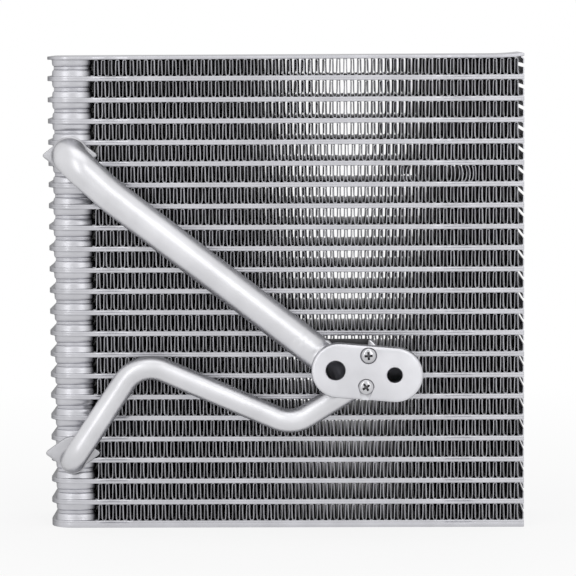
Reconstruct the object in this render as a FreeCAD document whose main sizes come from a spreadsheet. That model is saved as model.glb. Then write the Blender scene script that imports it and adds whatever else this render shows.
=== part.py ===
import FreeCAD, Part
import math
import os
import Sketcher
from FreeCAD import Placement, Rotation, Vector

# Evaporator core of a car's air conditioning, stacked-plate type, millimetres.
# X runs along the tubes with the tank at -X, -Y is the face with the pipes, Z is up.
# The origin is the centre of the underside of the base plate, under the core's middle.
# Tubes and fin rows are counted from the bottom.

SIZES = {
    # core block
    "core_length": 237.5,
    "core_depth": 62,
    "tube_count": 21,
    "tube_pitch": 10.6,
    "tube_thickness": 2.4,
    "base_sheet": 3.6,
    "top_sheet": 1.6,
    # tank cups, two side by side at the left end of each plate
    "rim_lip": 2.4,
    "cup_width": 19.2,
    "cup_draft": 12,
    "cup_gap": 3,
    "nose_radius": 12.3,
    "nose_set_back": 1,
    "nose_facets": 4,
    "corner_facets": 3,
    # set-back stretches in the front rim
    "notch_length": 15.5,
    "notch_near": 24.3,
    "notch_far": 197,
    "notch_set_back": 1.2,
    "notch_slant": 1.2,
    # bent tabs that guard the free end of each fin row
    "tab_sheet": 0.6,
    "tab_rise": 3.5,
    "tab_drop": 2.8,
    "flare_length": 10,
    "flare_rise": 0.9,
    # corrugated fins
    "fin_legs": 40,
    "fin_sheet": 0.3,
    "fin_set_back": 0.5,
    "fin_tank_gap": 2.2,
    "fin_tab_gap": 2.6,
    "port_row_gap": 2.6,
    # diamond fittings that carry the pipes on the tank
    "upper_port_row": 18,
    "lower_port_row": 4,
    "upper_port_drop": 0.8,
    "lower_port_drop": 2,
    "fitting_sheet": 3.5,
    "fitting_span": 26.8,
    "fitting_tip": 1.4,
    "fitting_waist": 9.5,
    # suction pipe
    "suction_outer": 16.6,
    "suction_wall": 1.5,
    "suction_reach": 15,
    "suction_port_bend": 11.5,
    "suction_valve_bend": 13.5,
    "suction_kink_right": 20.9,
    "suction_kink_down": 19.2,
    "suction_kink_bend": 70,
    "suction_bore_depth": 7,
    # liquid pipe
    "liquid_outer": 11.8,
    "liquid_wall": 1.2,
    "liquid_reach": 13,
    "liquid_drop": 2.8,
    "liquid_port_bend": 9.5,
    "liquid_valve_bend": 12,
    "liquid_rise_right": 34.1,
    "liquid_rise_up": 51.3,
    "liquid_rise_bend": 16,
    "liquid_dip_left": 50.4,
    "liquid_dip_down": 26.7,
    "liquid_dip_bend": 25,
    "liquid_ramp_left": 20.9,
    "liquid_ramp_down": 8.5,
    "liquid_ramp_bend": 40,
    "liquid_bore_depth": 5,
    # valve plate in front, screwed to the clamp block behind it
    "valve_right": 40.3,
    "valve_level": 81.35,
    "valve_tilt": 4.6,
    "valve_reach": 35.5,
    "valve_sheet": 7,
    "valve_length": 54,
    "valve_width": 26,
    "valve_rim": 1.4,
    "suction_hole": 9.6,
    "suction_hole_left": 15.5,
    "liquid_hole": 7.6,
    "liquid_hole_right": 13.5,
    "socket_depth": 2,
    "block_right": 4.9,
    "block_above": 6.5,
    "block_depth": 8.4,
    "block_flange": 5,
    "block_web": 10,
    "block_below": 4.3,
    "block_chamfer": 3,
    "block_wall": 1.4,
    "block_trough": 3.2,
    "block_clearance": 0.3,
    # pan-head screws
    "screw_thread": 4,
    "screw_length": 11,
    "screw_head": 7.6,
    "screw_head_height": 2.6,
    "screw_recess": 1.2,
    "screw_clearance": 0.4,
    "upper_screw_edge": 4.6,
    "lower_screw_edge": 6.4,
    "slot_mouth": 4,
}

FIN_HEIGHT = "(Sizes.tube_pitch - Sizes.tube_thickness)"
CORNER = "(Sizes.rim_lip + Sizes.cup_width / 2)"
PORT_X = "(-Sizes.core_length / 2 + " + CORNER + ")"
FRONT_Y = "(-Sizes.core_depth / 2)"
FITTING_Y = "(-Sizes.core_depth / 2 - Sizes.fitting_sheet)"
VALVE_BACK_Y = "(-Sizes.core_depth / 2 - Sizes.valve_reach + Sizes.valve_sheet)"
TUBE_LEVEL = "(Sizes.base_sheet + " + FIN_HEIGHT + " + Sizes.tube_thickness / 2)"
UPPER_SCREW = "(Sizes.valve_width / 2 - Sizes.upper_screw_edge)"
LOWER_SCREW = "(Sizes.valve_width / 2 - Sizes.lower_screw_edge)"

doc = FreeCAD.newDocument("evaporator_core")
sheet = doc.addObject("Spreadsheet::Sheet", "Sizes")
pockets = []
nodes = []


def fillSheet():
    for row, (alias, value) in enumerate(SIZES.items(), start=1):
        sheet.set("A" + str(row), alias)
        sheet.set("B" + str(row), str(value))
        sheet.setAlias("B" + str(row), alias)
    doc.recompute()


def size(expression):
    return float(sheet.evalExpression(expression.replace("Sizes.", "")))


def addNode(kind, name):
    node = doc.addObject(kind, name)
    node.Label = name
    nodes.append(node)
    return node


def place(target, x="0", y="0", z="0"):
    target.setExpression(".Placement.Base.x", x)
    target.setExpression(".Placement.Base.y", y)
    target.setExpression(".Placement.Base.z", z)


# sketches


def newSketch(body, name, role):
    sketch = body.newObject("Sketcher::SketchObject", name)
    plane = [feature for feature in body.Origin.OriginFeatures if feature.Role == role][0]
    sketch.AttachmentSupport = [(plane, "")]
    sketch.MapMode = "FlatFace"
    return sketch


def fix(sketch, kind, edge, point, expression):
    index = sketch.addConstraint(Sketcher.Constraint(kind, -1, 1, edge, point, size(expression)))
    sketch.setExpression("Constraints[" + str(index) + "]", expression)


def corner(x, y, fixed="xy", centre=None, held="xy"):
    """One corner of a closed outline; a centre makes the edge that leaves it a left-hand arc."""
    return {"x": x, "y": y, "fixed": fixed, "centre": centre, "held": held}


def drawOutline(sketch, corners):
    first = sketch.GeometryCount
    for index, start in enumerate(corners):
        stop = corners[(index + 1) % len(corners)]
        a = Vector(size(start["x"]), size(start["y"]), 0)
        b = Vector(size(stop["x"]), size(stop["y"]), 0)
        if start["centre"] is None:
            sketch.addGeometry(Part.LineSegment(a, b))
            continue
        middle = Vector(size(start["centre"][0]), size(start["centre"][1]), 0)
        angles = [math.atan2(p.y - middle.y, p.x - middle.x) for p in (a, b)]
        circle = Part.Circle(middle, Vector(0, 0, 1), (a - middle).Length)
        sketch.addGeometry(Part.ArcOfCircle(circle, angles[0], angles[1]))
    for index, start in enumerate(corners):
        edge = first + index
        follower = first + (index + 1) % len(corners)
        sketch.addConstraint(Sketcher.Constraint("Coincident", edge, 2, follower, 1))
        if "x" in start["fixed"]:
            fix(sketch, "DistanceX", edge, 1, start["x"])
        if "y" in start["fixed"]:
            fix(sketch, "DistanceY", edge, 1, start["y"])
        if start["centre"] is not None and "x" in start["held"]:
            fix(sketch, "DistanceX", edge, 3, start["centre"][0])
        if start["centre"] is not None and "y" in start["held"]:
            fix(sketch, "DistanceY", edge, 3, start["centre"][1])


def drawRectangle(sketch, left, right, low, high):
    drawOutline(sketch, [corner(left, low), corner(right, low), corner(right, high), corner(left, high)])


def drawCircle(sketch, x, y, radius):
    index = sketch.addGeometry(Part.Circle(Vector(size(x), size(y), 0), Vector(0, 0, 1), size(radius)))
    fix(sketch, "DistanceX", index, 3, x)
    fix(sketch, "DistanceY", index, 3, y)
    limit = sketch.addConstraint(Sketcher.Constraint("Radius", index, size(radius)))
    sketch.setExpression("Constraints[" + str(limit) + "]", radius)


# features


def addPad(body, sketch, length, side="One side", backwards=False, draft=None):
    pad = body.newObject("PartDesign::Pad", sketch.Name + "_pad")
    pad.Profile = sketch
    pad.SideType = side
    pad.Reversed = backwards
    pad.setExpression("Length", length)
    if side == "Two sides":
        pad.setExpression("Length2", length)
    if draft:
        pad.setExpression("TaperAngle", "-" + draft)
        pad.setExpression("TaperAngle2", "-" + draft)
    sketch.Visibility = False
    return pad


def addPocket(body, sketch, length=None, backwards=False):
    pocket = body.newObject("PartDesign::Pocket", sketch.Name + "_pocket")
    pocket.Profile = sketch
    pocket.Reversed = backwards
    if length:
        pocket.setExpression("Length", length)
    else:
        pocket.Type = "ThroughAll"
    pockets.append(pocket)
    return pocket


def edgesWhere(shape, test):
    return ["Edge" + str(index) for index, edge in enumerate(shape.Edges, start=1) if test(edge)]


# plates of the core


def facetedArc(x, y, radius, middle, half, facets):
    """Corners of a left-hand arc about x, y that reaches half to each side of its middle angle."""
    corners = []
    for index in range(facets + 1):
        share = 2 * index / facets - 1
        angle = "(" + str(middle) + " deg + (" + str(share) + ") * " + half + ")"
        corners.append(corner(x + " + " + radius + " * cos" + angle, y + " + " + radius + " * sin" + angle))
    return corners


def drawPlate(sketch):
    right = "Sizes.core_length / 2"
    front = "-Sizes.core_depth / 2"
    back = "Sizes.core_depth / 2"
    facets = int(size("Sizes.corner_facets"))
    outline = [corner(right, front), corner(right, back)]
    outline += facetedArc(PORT_X, back + " - " + CORNER, CORNER, 135, "45 deg", facets)
    outline += facetedArc(PORT_X, front + " + " + CORNER, CORNER, 225, "45 deg", facets)
    drawOutline(sketch, outline)


def drawCups(sketch):
    """Front and rear tank cups, each straight towards the other and round towards the rim."""
    left = "-Sizes.core_length / 2 + Sizes.rim_lip"
    right = left + " + Sizes.cup_width"
    centre = "(Sizes.core_depth / 2 - Sizes.nose_set_back - Sizes.nose_radius)"
    half = "asin(Sizes.cup_width / 2 / Sizes.nose_radius)"
    facets = int(size("Sizes.nose_facets"))
    front = facetedArc(PORT_X, "-" + centre, "Sizes.nose_radius", 270, half, facets)
    rear = facetedArc(PORT_X, centre, "Sizes.nose_radius", 90, half, facets)
    drawOutline(sketch, front + [corner(right, "-Sizes.cup_gap / 2"), corner(left, "-Sizes.cup_gap / 2")])
    drawOutline(sketch, rear + [corner(left, "Sizes.cup_gap / 2"), corner(right, "Sizes.cup_gap / 2")])


def drawNotches(sketch):
    front = "-Sizes.core_depth / 2"
    for start in ("Sizes.notch_near", "Sizes.notch_far"):
        left = "-Sizes.core_length / 2 + " + start
        right = left + " + Sizes.notch_length"
        drawOutline(sketch, [
            corner(left, front),
            corner(right, front),
            corner(right + " - Sizes.notch_slant", front + " + Sizes.notch_set_back"),
            corner(left + " + Sizes.notch_slant", front + " + Sizes.notch_set_back"),
        ])


def addTab(body, low, high):
    sketch = newSketch(body, body.Name + "_tab", "XZ_Plane")
    drawRectangle(sketch, "Sizes.core_length / 2 - Sizes.tab_sheet", "Sizes.core_length / 2", low, high)
    addPad(body, sketch, "Sizes.core_depth", side="Symmetric")


def makeTube(number):
    """Two stamped plates brazed rim to rim: one closed flat tube with tank cups above and below."""
    body = addNode("PartDesign::Body", "tube_{:02d}".format(number))
    outline = newSketch(body, body.Name + "_outline", "XY_Plane")
    drawPlate(outline)
    addPad(body, outline, "Sizes.tube_thickness", side="Symmetric")
    cups = newSketch(body, body.Name + "_cups", "XY_Plane")
    drawCups(cups)
    addPad(body, cups, "Sizes.tube_pitch / 2", side="Two sides", draft="Sizes.cup_draft")
    addTab(body, "-Sizes.tube_thickness / 2 - Sizes.tab_drop", "Sizes.tube_thickness / 2 + Sizes.tab_rise")
    notches = newSketch(body, body.Name + "_notches", "XY_Plane")
    drawNotches(notches)
    addPocket(body, notches, length="Sizes.tube_thickness / 2", backwards=True)
    place(body, z=TUBE_LEVEL + " + " + str(number - 1) + " * Sizes.tube_pitch")


def makeBasePlate():
    """Lower side plate, which the core stands on, with half a pair of cups on top."""
    body = addNode("PartDesign::Body", "base_plate")
    outline = newSketch(body, "base_outline", "XY_Plane")
    drawPlate(outline)
    addPad(body, outline, "Sizes.base_sheet")
    cups = newSketch(body, "base_cups", "XY_Plane")
    drawCups(cups)
    addPad(body, cups, "Sizes.base_sheet + " + FIN_HEIGHT + " / 2", draft="Sizes.cup_draft")
    addTab(body, "0", "Sizes.base_sheet + Sizes.tab_rise")
    notches = newSketch(body, "base_notches", "XY_Plane")
    drawNotches(notches)
    addPocket(body, notches, length="Sizes.base_sheet", backwards=True)


def makeTopPlate():
    """Upper side plate; its free end is bent up a little above the last stretch."""
    body = addNode("PartDesign::Body", "top_plate")
    outline = newSketch(body, "top_outline", "XY_Plane")
    drawPlate(outline)
    addPad(body, outline, "Sizes.top_sheet")
    cups = newSketch(body, "top_cups", "XY_Plane")
    drawCups(cups)
    addPad(body, cups, FIN_HEIGHT + " / 2", backwards=True, draft="Sizes.cup_draft")
    addTab(body, "-Sizes.tab_drop", "Sizes.top_sheet")
    flare = newSketch(body, "top_flare", "XZ_Plane")
    drawOutline(flare, [
        corner("Sizes.core_length / 2 - Sizes.flare_length", "Sizes.top_sheet"),
        corner("Sizes.core_length / 2", "Sizes.top_sheet"),
        corner("Sizes.core_length / 2", "Sizes.top_sheet + Sizes.flare_rise"),
    ])
    addPad(body, flare, "Sizes.core_depth", side="Symmetric")
    notches = newSketch(body, "top_notches", "XY_Plane")
    drawNotches(notches)
    addPocket(body, notches, length="Sizes.top_sheet", backwards=True)
    place(body, z=TUBE_LEVEL + " + Sizes.tube_count * Sizes.tube_pitch - Sizes.tube_thickness / 2")


def makeFin(row):
    """Corrugated sheet: legs run from crest to crest, and each crest is brazed to a flat face."""
    legs = int(size("Sizes.fin_legs"))
    height = size(FIN_HEIGHT)
    depth = size("Sizes.core_depth - 2 * Sizes.fin_set_back")
    left = size("-Sizes.core_length / 2 + Sizes.rim_lip + Sizes.cup_width + Sizes.fin_tank_gap")
    if row in (int(size("Sizes.upper_port_row")), int(size("Sizes.lower_port_row"))):
        left += size("Sizes.port_row_gap")
    right = size("Sizes.core_length / 2 - Sizes.tab_sheet - Sizes.fin_tab_gap")
    sheet_size = size("Sizes.fin_sheet")
    step = (right - left - sheet_size) / legs
    # the sheet's slant makes the wall's outline drop by this much on the inside of a crest
    inner = height * sheet_size / step
    upper = []
    lower = []
    for crest in range(legs + 1):
        x = left + sheet_size / 2 + crest * step
        if crest % 2:
            upper.append(Vector(x, 0, height))
            lower.append(Vector(x, 0, height - inner))
        else:
            upper.append(Vector(x, 0, inner))
            lower.append(Vector(x, 0, 0))
    outline = upper + lower[::-1]
    face = Part.Face(Part.makePolygon(outline + outline[:1]))
    fin = addNode("Part::Feature", "fin_{:02d}".format(row))
    fin.Shape = face.extrude(Vector(0, depth, 0))
    level = size("Sizes.base_sheet") + (row - 1) * size("Sizes.tube_pitch")
    fin.Placement = Placement(Vector(0, -depth / 2, level), Rotation())


# port fittings


def portLevel(name):
    row = "Sizes." + name + "_port_row"
    middle = "(Sizes.base_sheet + " + FIN_HEIGHT + " / 2 + (" + row + " - 1) * Sizes.tube_pitch)"
    return "(" + middle + " - Sizes." + name + "_port_drop)"


def makeFitting(name, port):
    """Diamond flange brazed across the plate rims, round about the pipe and pointed at both ends."""
    body = addNode("PartDesign::Body", name)
    outline = newSketch(body, name + "_outline", "XZ_Plane")
    waist = "Sizes.fitting_waist"
    tip = "Sizes.fitting_tip"
    reach = "(Sizes.fitting_span / 2 - Sizes.fitting_tip)"
    # a side touches both circles, so it leans by the angle with this sine and cosine
    sine = "((" + waist + " - " + tip + ") / " + reach + ")"
    cosine = "sqrt(1 - " + sine + " ^ 2)"
    waist_x = waist + " * " + sine
    waist_z = waist + " * " + cosine
    tip_x = reach + " + " + tip + " * " + sine
    tip_z = tip + " * " + cosine
    middle = ("0", "0")
    drawOutline(outline, [
        corner(waist_x, waist_z, centre=middle),
        corner("-" + waist_x, waist_z, fixed="x"),
        corner("-(" + tip_x + ")", tip_z, centre=("-" + reach, "0")),
        corner("-(" + tip_x + ")", "-" + tip_z, fixed="y"),
        corner("-" + waist_x, "-" + waist_z, centre=middle),
        corner(waist_x, "-" + waist_z, fixed="x"),
        corner(tip_x, "-" + tip_z, centre=(reach, "0")),
        corner(tip_x, tip_z, fixed="y"),
    ])
    addPad(body, outline, "Sizes.fitting_sheet")
    place(body, x=PORT_X, y=FRONT_Y, z=portLevel(port))


# pipes


def bentRoute(points, radii):
    """Straight runs joined by tangent arcs; one radius for each inner point."""
    edges = []
    start = points[0]
    for before, point, after, radius in zip(points, points[1:], points[2:], radii):
        back = (before - point).normalize()
        ahead = (after - point).normalize()
        half = back.getAngle(ahead) / 2
        reach = radius / math.tan(half)
        middle = point + (back + ahead).normalize() * (radius / math.sin(half))
        entry = point + back * reach
        leave = point + ahead * reach
        crown = middle + (point - middle).normalize() * radius
        if (entry - start).Length > 0.01:
            edges.append(Part.LineSegment(start, entry).toShape())
        edges.append(Part.Arc(entry, crown, leave).toShape())
        start = leave
    edges.append(Part.LineSegment(start, points[-1]).toShape())
    return Part.Wire(edges)


def makePipe(name, points, radii, outer, wall, bore_depth):
    """Bent pipe, bored at its valve end as far as the port shows; beyond that it is closed to view."""
    forward = Rotation(Vector(0, 0, 1), Vector(0, -1, 0))
    route = doc.addObject("Part::Feature", name + "_route")
    route.Shape = bentRoute(points, radii)
    section = doc.addObject("Part::Circle", name + "_section")
    section.setExpression("Radius", outer + " / 2")
    section.Placement = Placement(points[0], forward)
    sweep = doc.addObject("Part::Sweep", name + "_sweep")
    sweep.Sections = [section]
    sweep.Spine = (route, ["Edge" + str(index + 1) for index in range(len(route.Shape.Edges))])
    sweep.Solid = True
    bore = doc.addObject("Part::Cylinder", name + "_bore")
    bore.setExpression("Radius", outer + " / 2 - " + wall)
    bore.setExpression("Height", bore_depth)
    bore.Placement = Placement(points[-1] + Vector(0, size(bore_depth), 0), forward)
    pipe = addNode("Part::Cut", name)
    pipe.Base = sweep
    pipe.Tool = bore


def valvePoint(right, up, y):
    """A point given along and across the tilted valve plate."""
    tilt = math.radians(size("Sizes.valve_tilt"))
    x = size("Sizes.valve_right") + right * math.cos(tilt) + up * math.sin(tilt)
    z = size("Sizes.valve_level") - right * math.sin(tilt) + up * math.cos(tilt)
    return Vector(x, y, z)


def makeSuctionPipe():
    run = size(FRONT_Y + " - Sizes.suction_reach")
    x = size(PORT_X)
    z = size(portLevel("upper"))
    kink = Vector(x + size("Sizes.suction_kink_right"), run, z - size("Sizes.suction_kink_down"))
    hole = -size("Sizes.suction_hole_left")
    points = [
        Vector(x, size(FITTING_Y), z),
        Vector(x, run, z),
        kink,
        valvePoint(hole, 0, run),
        valvePoint(hole, 0, size(VALVE_BACK_Y + " - Sizes.socket_depth")),
    ]
    radii = [size("Sizes.suction_" + bend + "_bend") for bend in ("port", "kink", "valve")]
    makePipe("suction_pipe", points, radii, "Sizes.suction_outer", "Sizes.suction_wall", "Sizes.suction_bore_depth")


def makeLiquidPipe():
    run = size(FRONT_Y + " - Sizes.liquid_reach")
    x = size(PORT_X)
    z = size(portLevel("lower")) - size("Sizes.liquid_drop")
    hole = valvePoint(size("Sizes.liquid_hole_right"), 0, run)
    rise = Vector(x + size("Sizes.liquid_rise_right"), run, z + size("Sizes.liquid_rise_up"))
    dip = hole - Vector(size("Sizes.liquid_dip_left"), 0, size("Sizes.liquid_dip_down"))
    ramp = hole - Vector(size("Sizes.liquid_ramp_left"), 0, size("Sizes.liquid_ramp_down"))
    points = [
        Vector(x, size(FITTING_Y), z),
        Vector(x, run, z),
        rise,
        dip,
        ramp,
        hole,
        Vector(hole.x, size(VALVE_BACK_Y + " - Sizes.socket_depth"), hole.z),
    ]
    radii = [size("Sizes.liquid_" + bend + "_bend") for bend in ("port", "rise", "dip", "ramp", "valve")]
    makePipe("liquid_pipe", points, radii, "Sizes.liquid_outer", "Sizes.liquid_wall", "Sizes.liquid_bore_depth")


# valve plate, clamp block and screws


def tiltWithValve(body):
    body.Placement = Placement(Vector(), Rotation(Vector(0, 1, 0), size("Sizes.valve_tilt")))
    body.setExpression(".Placement.Rotation.Angle", "Sizes.valve_tilt")


def makeValvePlate():
    """Flat-sided oval plate with two ports, and recesses for the screw heads."""
    body = addNode("PartDesign::Body", "valve_plate")
    outline = newSketch(body, "valve_outline", "XZ_Plane")
    radius = "Sizes.valve_width / 2"
    flat = "(Sizes.valve_length - Sizes.valve_width) / 2"
    drawOutline(outline, [
        corner("-" + flat, "-" + radius),
        corner(flat, "-" + radius, centre=(flat, "0"), held="x"),
        corner(flat, radius),
        corner("-" + flat, radius, centre=("-" + flat, "0"), held="x"),
    ])
    slab = addPad(body, outline, "Sizes.valve_sheet")
    doc.recompute()
    front = -size("Sizes.valve_sheet")
    rim = body.newObject("PartDesign::Chamfer", "valve_rim")
    rim.Base = (slab, edgesWhere(slab.Shape, lambda edge: edge.BoundBox.YMax < front + 0.01))
    rim.setExpression("Size", "Sizes.valve_rim")
    ports = newSketch(body, "valve_ports", "XZ_Plane")
    drawCircle(ports, "-Sizes.suction_hole_left", "0", "Sizes.suction_hole / 2")
    drawCircle(ports, "Sizes.liquid_hole_right", "0", "Sizes.liquid_hole / 2")
    drawCircle(ports, "0", UPPER_SCREW, "(Sizes.screw_thread + Sizes.screw_clearance) / 2")
    drawCircle(ports, "0", "-" + LOWER_SCREW, "(Sizes.screw_thread + Sizes.screw_clearance) / 2")
    addPocket(body, ports, length="Sizes.valve_sheet", backwards=True)
    sockets = newSketch(body, "valve_sockets", "XZ_Plane")
    drawCircle(sockets, "-Sizes.suction_hole_left", "0", "Sizes.suction_outer / 2")
    drawCircle(sockets, "Sizes.liquid_hole_right", "0", "Sizes.liquid_outer / 2")
    addPocket(body, sockets, length="Sizes.socket_depth", backwards=True)
    seat = "(Sizes.screw_head + Sizes.screw_clearance) / 2"
    recess = newSketch(body, "valve_recess", "XZ_Plane")
    recess.AttachmentOffset = Placement(Vector(0, 0, -front), Rotation())
    recess.setExpression(".AttachmentOffset.Base.z", "Sizes.valve_sheet")
    drawCircle(recess, "0", UPPER_SCREW, seat)
    addPocket(body, recess, length="Sizes.screw_recess")
    # the lower recess runs out through the plate's edge and narrows on the way
    slot = newSketch(body, "valve_slot", "XZ_Plane")
    slot.setExpression(".AttachmentOffset.Base.z", "Sizes.valve_sheet")
    level = "-" + LOWER_SCREW
    mouth = "Sizes.slot_mouth / 2"
    drawOutline(slot, [
        corner(seat, level, centre=("0", level)),
        corner("-" + seat, level, fixed="y"),
        corner("-" + mouth, "-Sizes.valve_width / 2 - 1"),
        corner(mouth, "-Sizes.valve_width / 2 - 1"),
    ])
    addPocket(body, slot, length="Sizes.screw_recess")
    tiltWithValve(body)
    place(body, x="Sizes.valve_right", y=VALVE_BACK_Y, z="Sizes.valve_level")


def besideSuction(level):
    """Where, at a level above the plate's middle, the block clears the suction pipe's straight run."""
    tilt = "(Sizes.valve_tilt * 1 deg)"
    hole_x = "(-Sizes.suction_hole_left * cos" + tilt + ")"
    hole_z = "(Sizes.suction_hole_left * sin" + tilt + ")"
    run = "(Sizes.valve_right + " + hole_x + " - " + PORT_X + " - Sizes.suction_kink_right)"
    fall = "(" + portLevel("upper") + " - Sizes.suction_kink_down - Sizes.valve_level - " + hole_z + ")"
    slope = "(atan(" + fall + " / " + run + "))"
    reach = "(Sizes.suction_outer / 2 + Sizes.block_clearance)"
    return hole_x + " + (" + reach + " - (" + level + " - " + hole_z + ") * cos" + slope + ") / sin" + slope


def makeClampBlock():
    """Block behind the plate: a flange with a trough along its top and a web that takes the screws."""
    body = addNode("PartDesign::Body", "clamp_block")
    outline = newSketch(body, "clamp_outline", "XZ_Plane")
    right = "Sizes.block_right"
    top = "(" + UPPER_SCREW + " + Sizes.block_above)"
    under = "(" + top + " - Sizes.block_flange)"
    foot = "-(" + LOWER_SCREW + " + Sizes.block_below)"
    drawOutline(outline, [
        corner(besideSuction(under), under),
        corner(right + " - Sizes.block_web", under),
        corner(right + " - Sizes.block_web", foot),
        corner(right, foot),
        corner(right, top + " - Sizes.block_chamfer"),
        corner(right + " - Sizes.block_chamfer", top),
        corner(besideSuction(top), top),
    ])
    addPad(body, outline, "Sizes.block_depth", backwards=True)
    trough = newSketch(body, "clamp_trough", "XY_Plane")
    trough.setExpression(".AttachmentOffset.Base.z", top)
    drawRectangle(
        trough,
        besideSuction(top + " - Sizes.block_trough") + " + Sizes.block_wall",
        right + " - Sizes.block_chamfer - Sizes.block_wall",
        "0",
        "Sizes.block_depth - Sizes.block_wall",
    )
    addPocket(body, trough, length="Sizes.block_trough")
    holes = newSketch(body, "clamp_holes", "XZ_Plane")
    for offset in (UPPER_SCREW, "-" + LOWER_SCREW):
        screw_x = offset + " * sin(Sizes.valve_tilt * 1 deg)"
        screw_z = offset + " * cos(Sizes.valve_tilt * 1 deg)"
        drawCircle(holes, screw_x, screw_z, "Sizes.screw_thread / 2")
    addPocket(body, holes, length="Sizes.block_depth")
    place(body, x="Sizes.valve_right", y=VALVE_BACK_Y, z="Sizes.valve_level")


def makeScrew(name, offset):
    """Pan-head screw; its shank reaches through the plate into the block."""
    body = addNode("PartDesign::Body", name)
    profile = newSketch(body, name + "_profile", "XY_Plane")
    head = "Sizes.screw_head / 2"
    height = "Sizes.screw_head_height"
    thread = "Sizes.screw_thread / 2"
    drawOutline(profile, [
        corner("0", "Sizes.screw_length"),
        corner(thread, "Sizes.screw_length"),
        corner(thread, "0"),
        corner(head, "0"),
        corner(head, "-" + height + " / 3"),
        corner(head + " * 0.6", "-" + height),
        corner("0", "-" + height),
    ])
    turned = body.newObject("PartDesign::Revolution", name + "_turned")
    turned.Profile = profile
    turned.ReferenceAxis = (profile, ["V_Axis"])
    turned.Angle = 360
    tilt = "(Sizes.valve_tilt * 1 deg)"
    tiltWithValve(body)
    place(
        body,
        x="Sizes.valve_right + " + offset + " * sin" + tilt,
        y=VALVE_BACK_Y + " - Sizes.valve_sheet + Sizes.screw_recess",
        z="Sizes.valve_level + " + offset + " * cos" + tilt,
    )


def checkModel():
    doc.recompute()
    for item in doc.Objects:
        if "Invalid" in item.State or "Error" in item.State:
            raise RuntimeError(item.Label + " failed: " + str(item.State))
    for pocket in pockets:
        if not pocket.Shape.Volume < pocket.BaseFeature.Shape.Volume:
            raise RuntimeError(pocket.Label + " cuts nothing")
    for node in nodes:
        if node.Shape.isNull() or not node.Shape.isValid() or not node.Shape.Solids:
            raise RuntimeError(node.Label + " has no valid solid")


def writeParts():
    os.makedirs("parts", exist_ok=True)
    for node in nodes:
        node.Shape.exportStep(os.path.join("parts", node.Label + ".step"))
    print(len(nodes), "parts written")


fillSheet()
makeBasePlate()
for number in range(1, int(size("Sizes.tube_count")) + 1):
    makeTube(number)
makeTopPlate()
for row in range(1, int(size("Sizes.tube_count")) + 2):
    makeFin(row)
makeFitting("suction_fitting", "upper")
makeFitting("liquid_fitting", "lower")
makeSuctionPipe()
makeLiquidPipe()
makeValvePlate()
makeClampBlock()
makeScrew("upper_screw", UPPER_SCREW)
makeScrew("lower_screw", "(-" + LOWER_SCREW + ")")
checkModel()
writeParts()
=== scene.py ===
import math
import random

import bmesh
import bpy
from mathutils import Matrix, Vector, noise


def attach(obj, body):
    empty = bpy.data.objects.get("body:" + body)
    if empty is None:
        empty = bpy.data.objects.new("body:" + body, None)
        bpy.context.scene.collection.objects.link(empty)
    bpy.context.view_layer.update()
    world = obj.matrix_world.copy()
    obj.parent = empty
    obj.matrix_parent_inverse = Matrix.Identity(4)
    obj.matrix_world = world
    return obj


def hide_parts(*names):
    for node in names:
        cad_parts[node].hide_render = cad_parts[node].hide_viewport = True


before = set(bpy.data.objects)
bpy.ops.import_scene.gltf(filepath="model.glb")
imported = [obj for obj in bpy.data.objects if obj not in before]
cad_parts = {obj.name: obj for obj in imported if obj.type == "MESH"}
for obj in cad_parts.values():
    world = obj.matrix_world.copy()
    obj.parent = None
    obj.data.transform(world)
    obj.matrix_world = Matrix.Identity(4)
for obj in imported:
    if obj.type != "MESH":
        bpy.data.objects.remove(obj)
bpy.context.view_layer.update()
print("stage: frame loaded")

# Sizes are written in millimetres; mm() and toMetres() turn them into metres.
# X runs along the tubes with the tank at -X, -Y is the face with the pipes, Z is up.

near = 0.01  # places closer than this count as the same
past = 1.0  # how far a cutter reaches beyond what it cuts
margin = 0.1  # room round a region whose tone is changed

core = {
    "length": 237.5,
    "depth": 62.0,
    "tubes": 21,
    "pitch": 10.6,
    "tube": 2.4,
    "base": 3.6,
    "top": 1.6,
    "corner": 12.0,  # round corner of each plate, and how far in the tank's middle lies
}


def mm(value):
    return value / 1000


def toMetres(x, y, z):
    return Vector((x, y, z)) / 1000


# materials

alloys = {
    "plate": {"colour": (0.56, 0.56, 0.591), "rough": 0.35, "grain": 0.04, "wave": 0.03, "scale": 900},
    "pipe": {"colour": (0.72, 0.72, 0.745), "rough": 0.36, "grain": 0.05, "wave": 0.05, "scale": 700},
    "fitting": {"colour": (0.69, 0.69, 0.72), "rough": 0.36, "grain": 0.08, "wave": 0.03, "scale": 800},
    "screw": {"colour": (0.56, 0.56, 0.58), "rough": 0.22, "grain": 0.04, "wave": 0.0, "scale": 900},
    "edgeTint": 0.62,
    "broadShare": 14,  # how many times coarser the broad pattern is than the fine one
    "toneSpread": 0.08,
    "tonePlaces": (0.3, 0.7),
    "roughSpread": (-0.06, 0.08),
    "waveHeight": 0.004,
    "grainHeight": 0.0004,
    # the colour's factor where the painted shade is fullest
    "paintedShadingDarkest": 0.04,
}

finSkin = {
    # painted shade: the fins are bright at the core's faces and dark in its depth
    "front": (0.46, 0.46, 0.49),
    "deep": (0.085, 0.085, 0.092),
    "frontFrom": 30.2,
    "deepFrom": 27.0,
    # painted light: how far the deep painted shade nears the front tone beside the tank, and where that
    # starts and fades out
    "tankPaintedLight": 0.16,
    "glowFrom": -100,
    "glowTo": 20,
    "metal": 0.5,
    "rough": 0.42,
    "legGrain": (600, 20, 80),
    "legPlaces": (0.3, 0.7),
    "legTones": (0.62, 1.25),
}


def newMaterial(name):
    material = bpy.data.materials.new(name)
    material.use_nodes = True
    tree = material.node_tree
    return material, tree, tree.nodes["Principled BSDF"]


def addNode(tree, kind, **values):
    node = tree.nodes.new(kind)
    for key, value in values.items():
        if key in node.inputs:
            node.inputs[key].default_value = value
        else:
            setattr(node, key, value)
    return node


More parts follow.
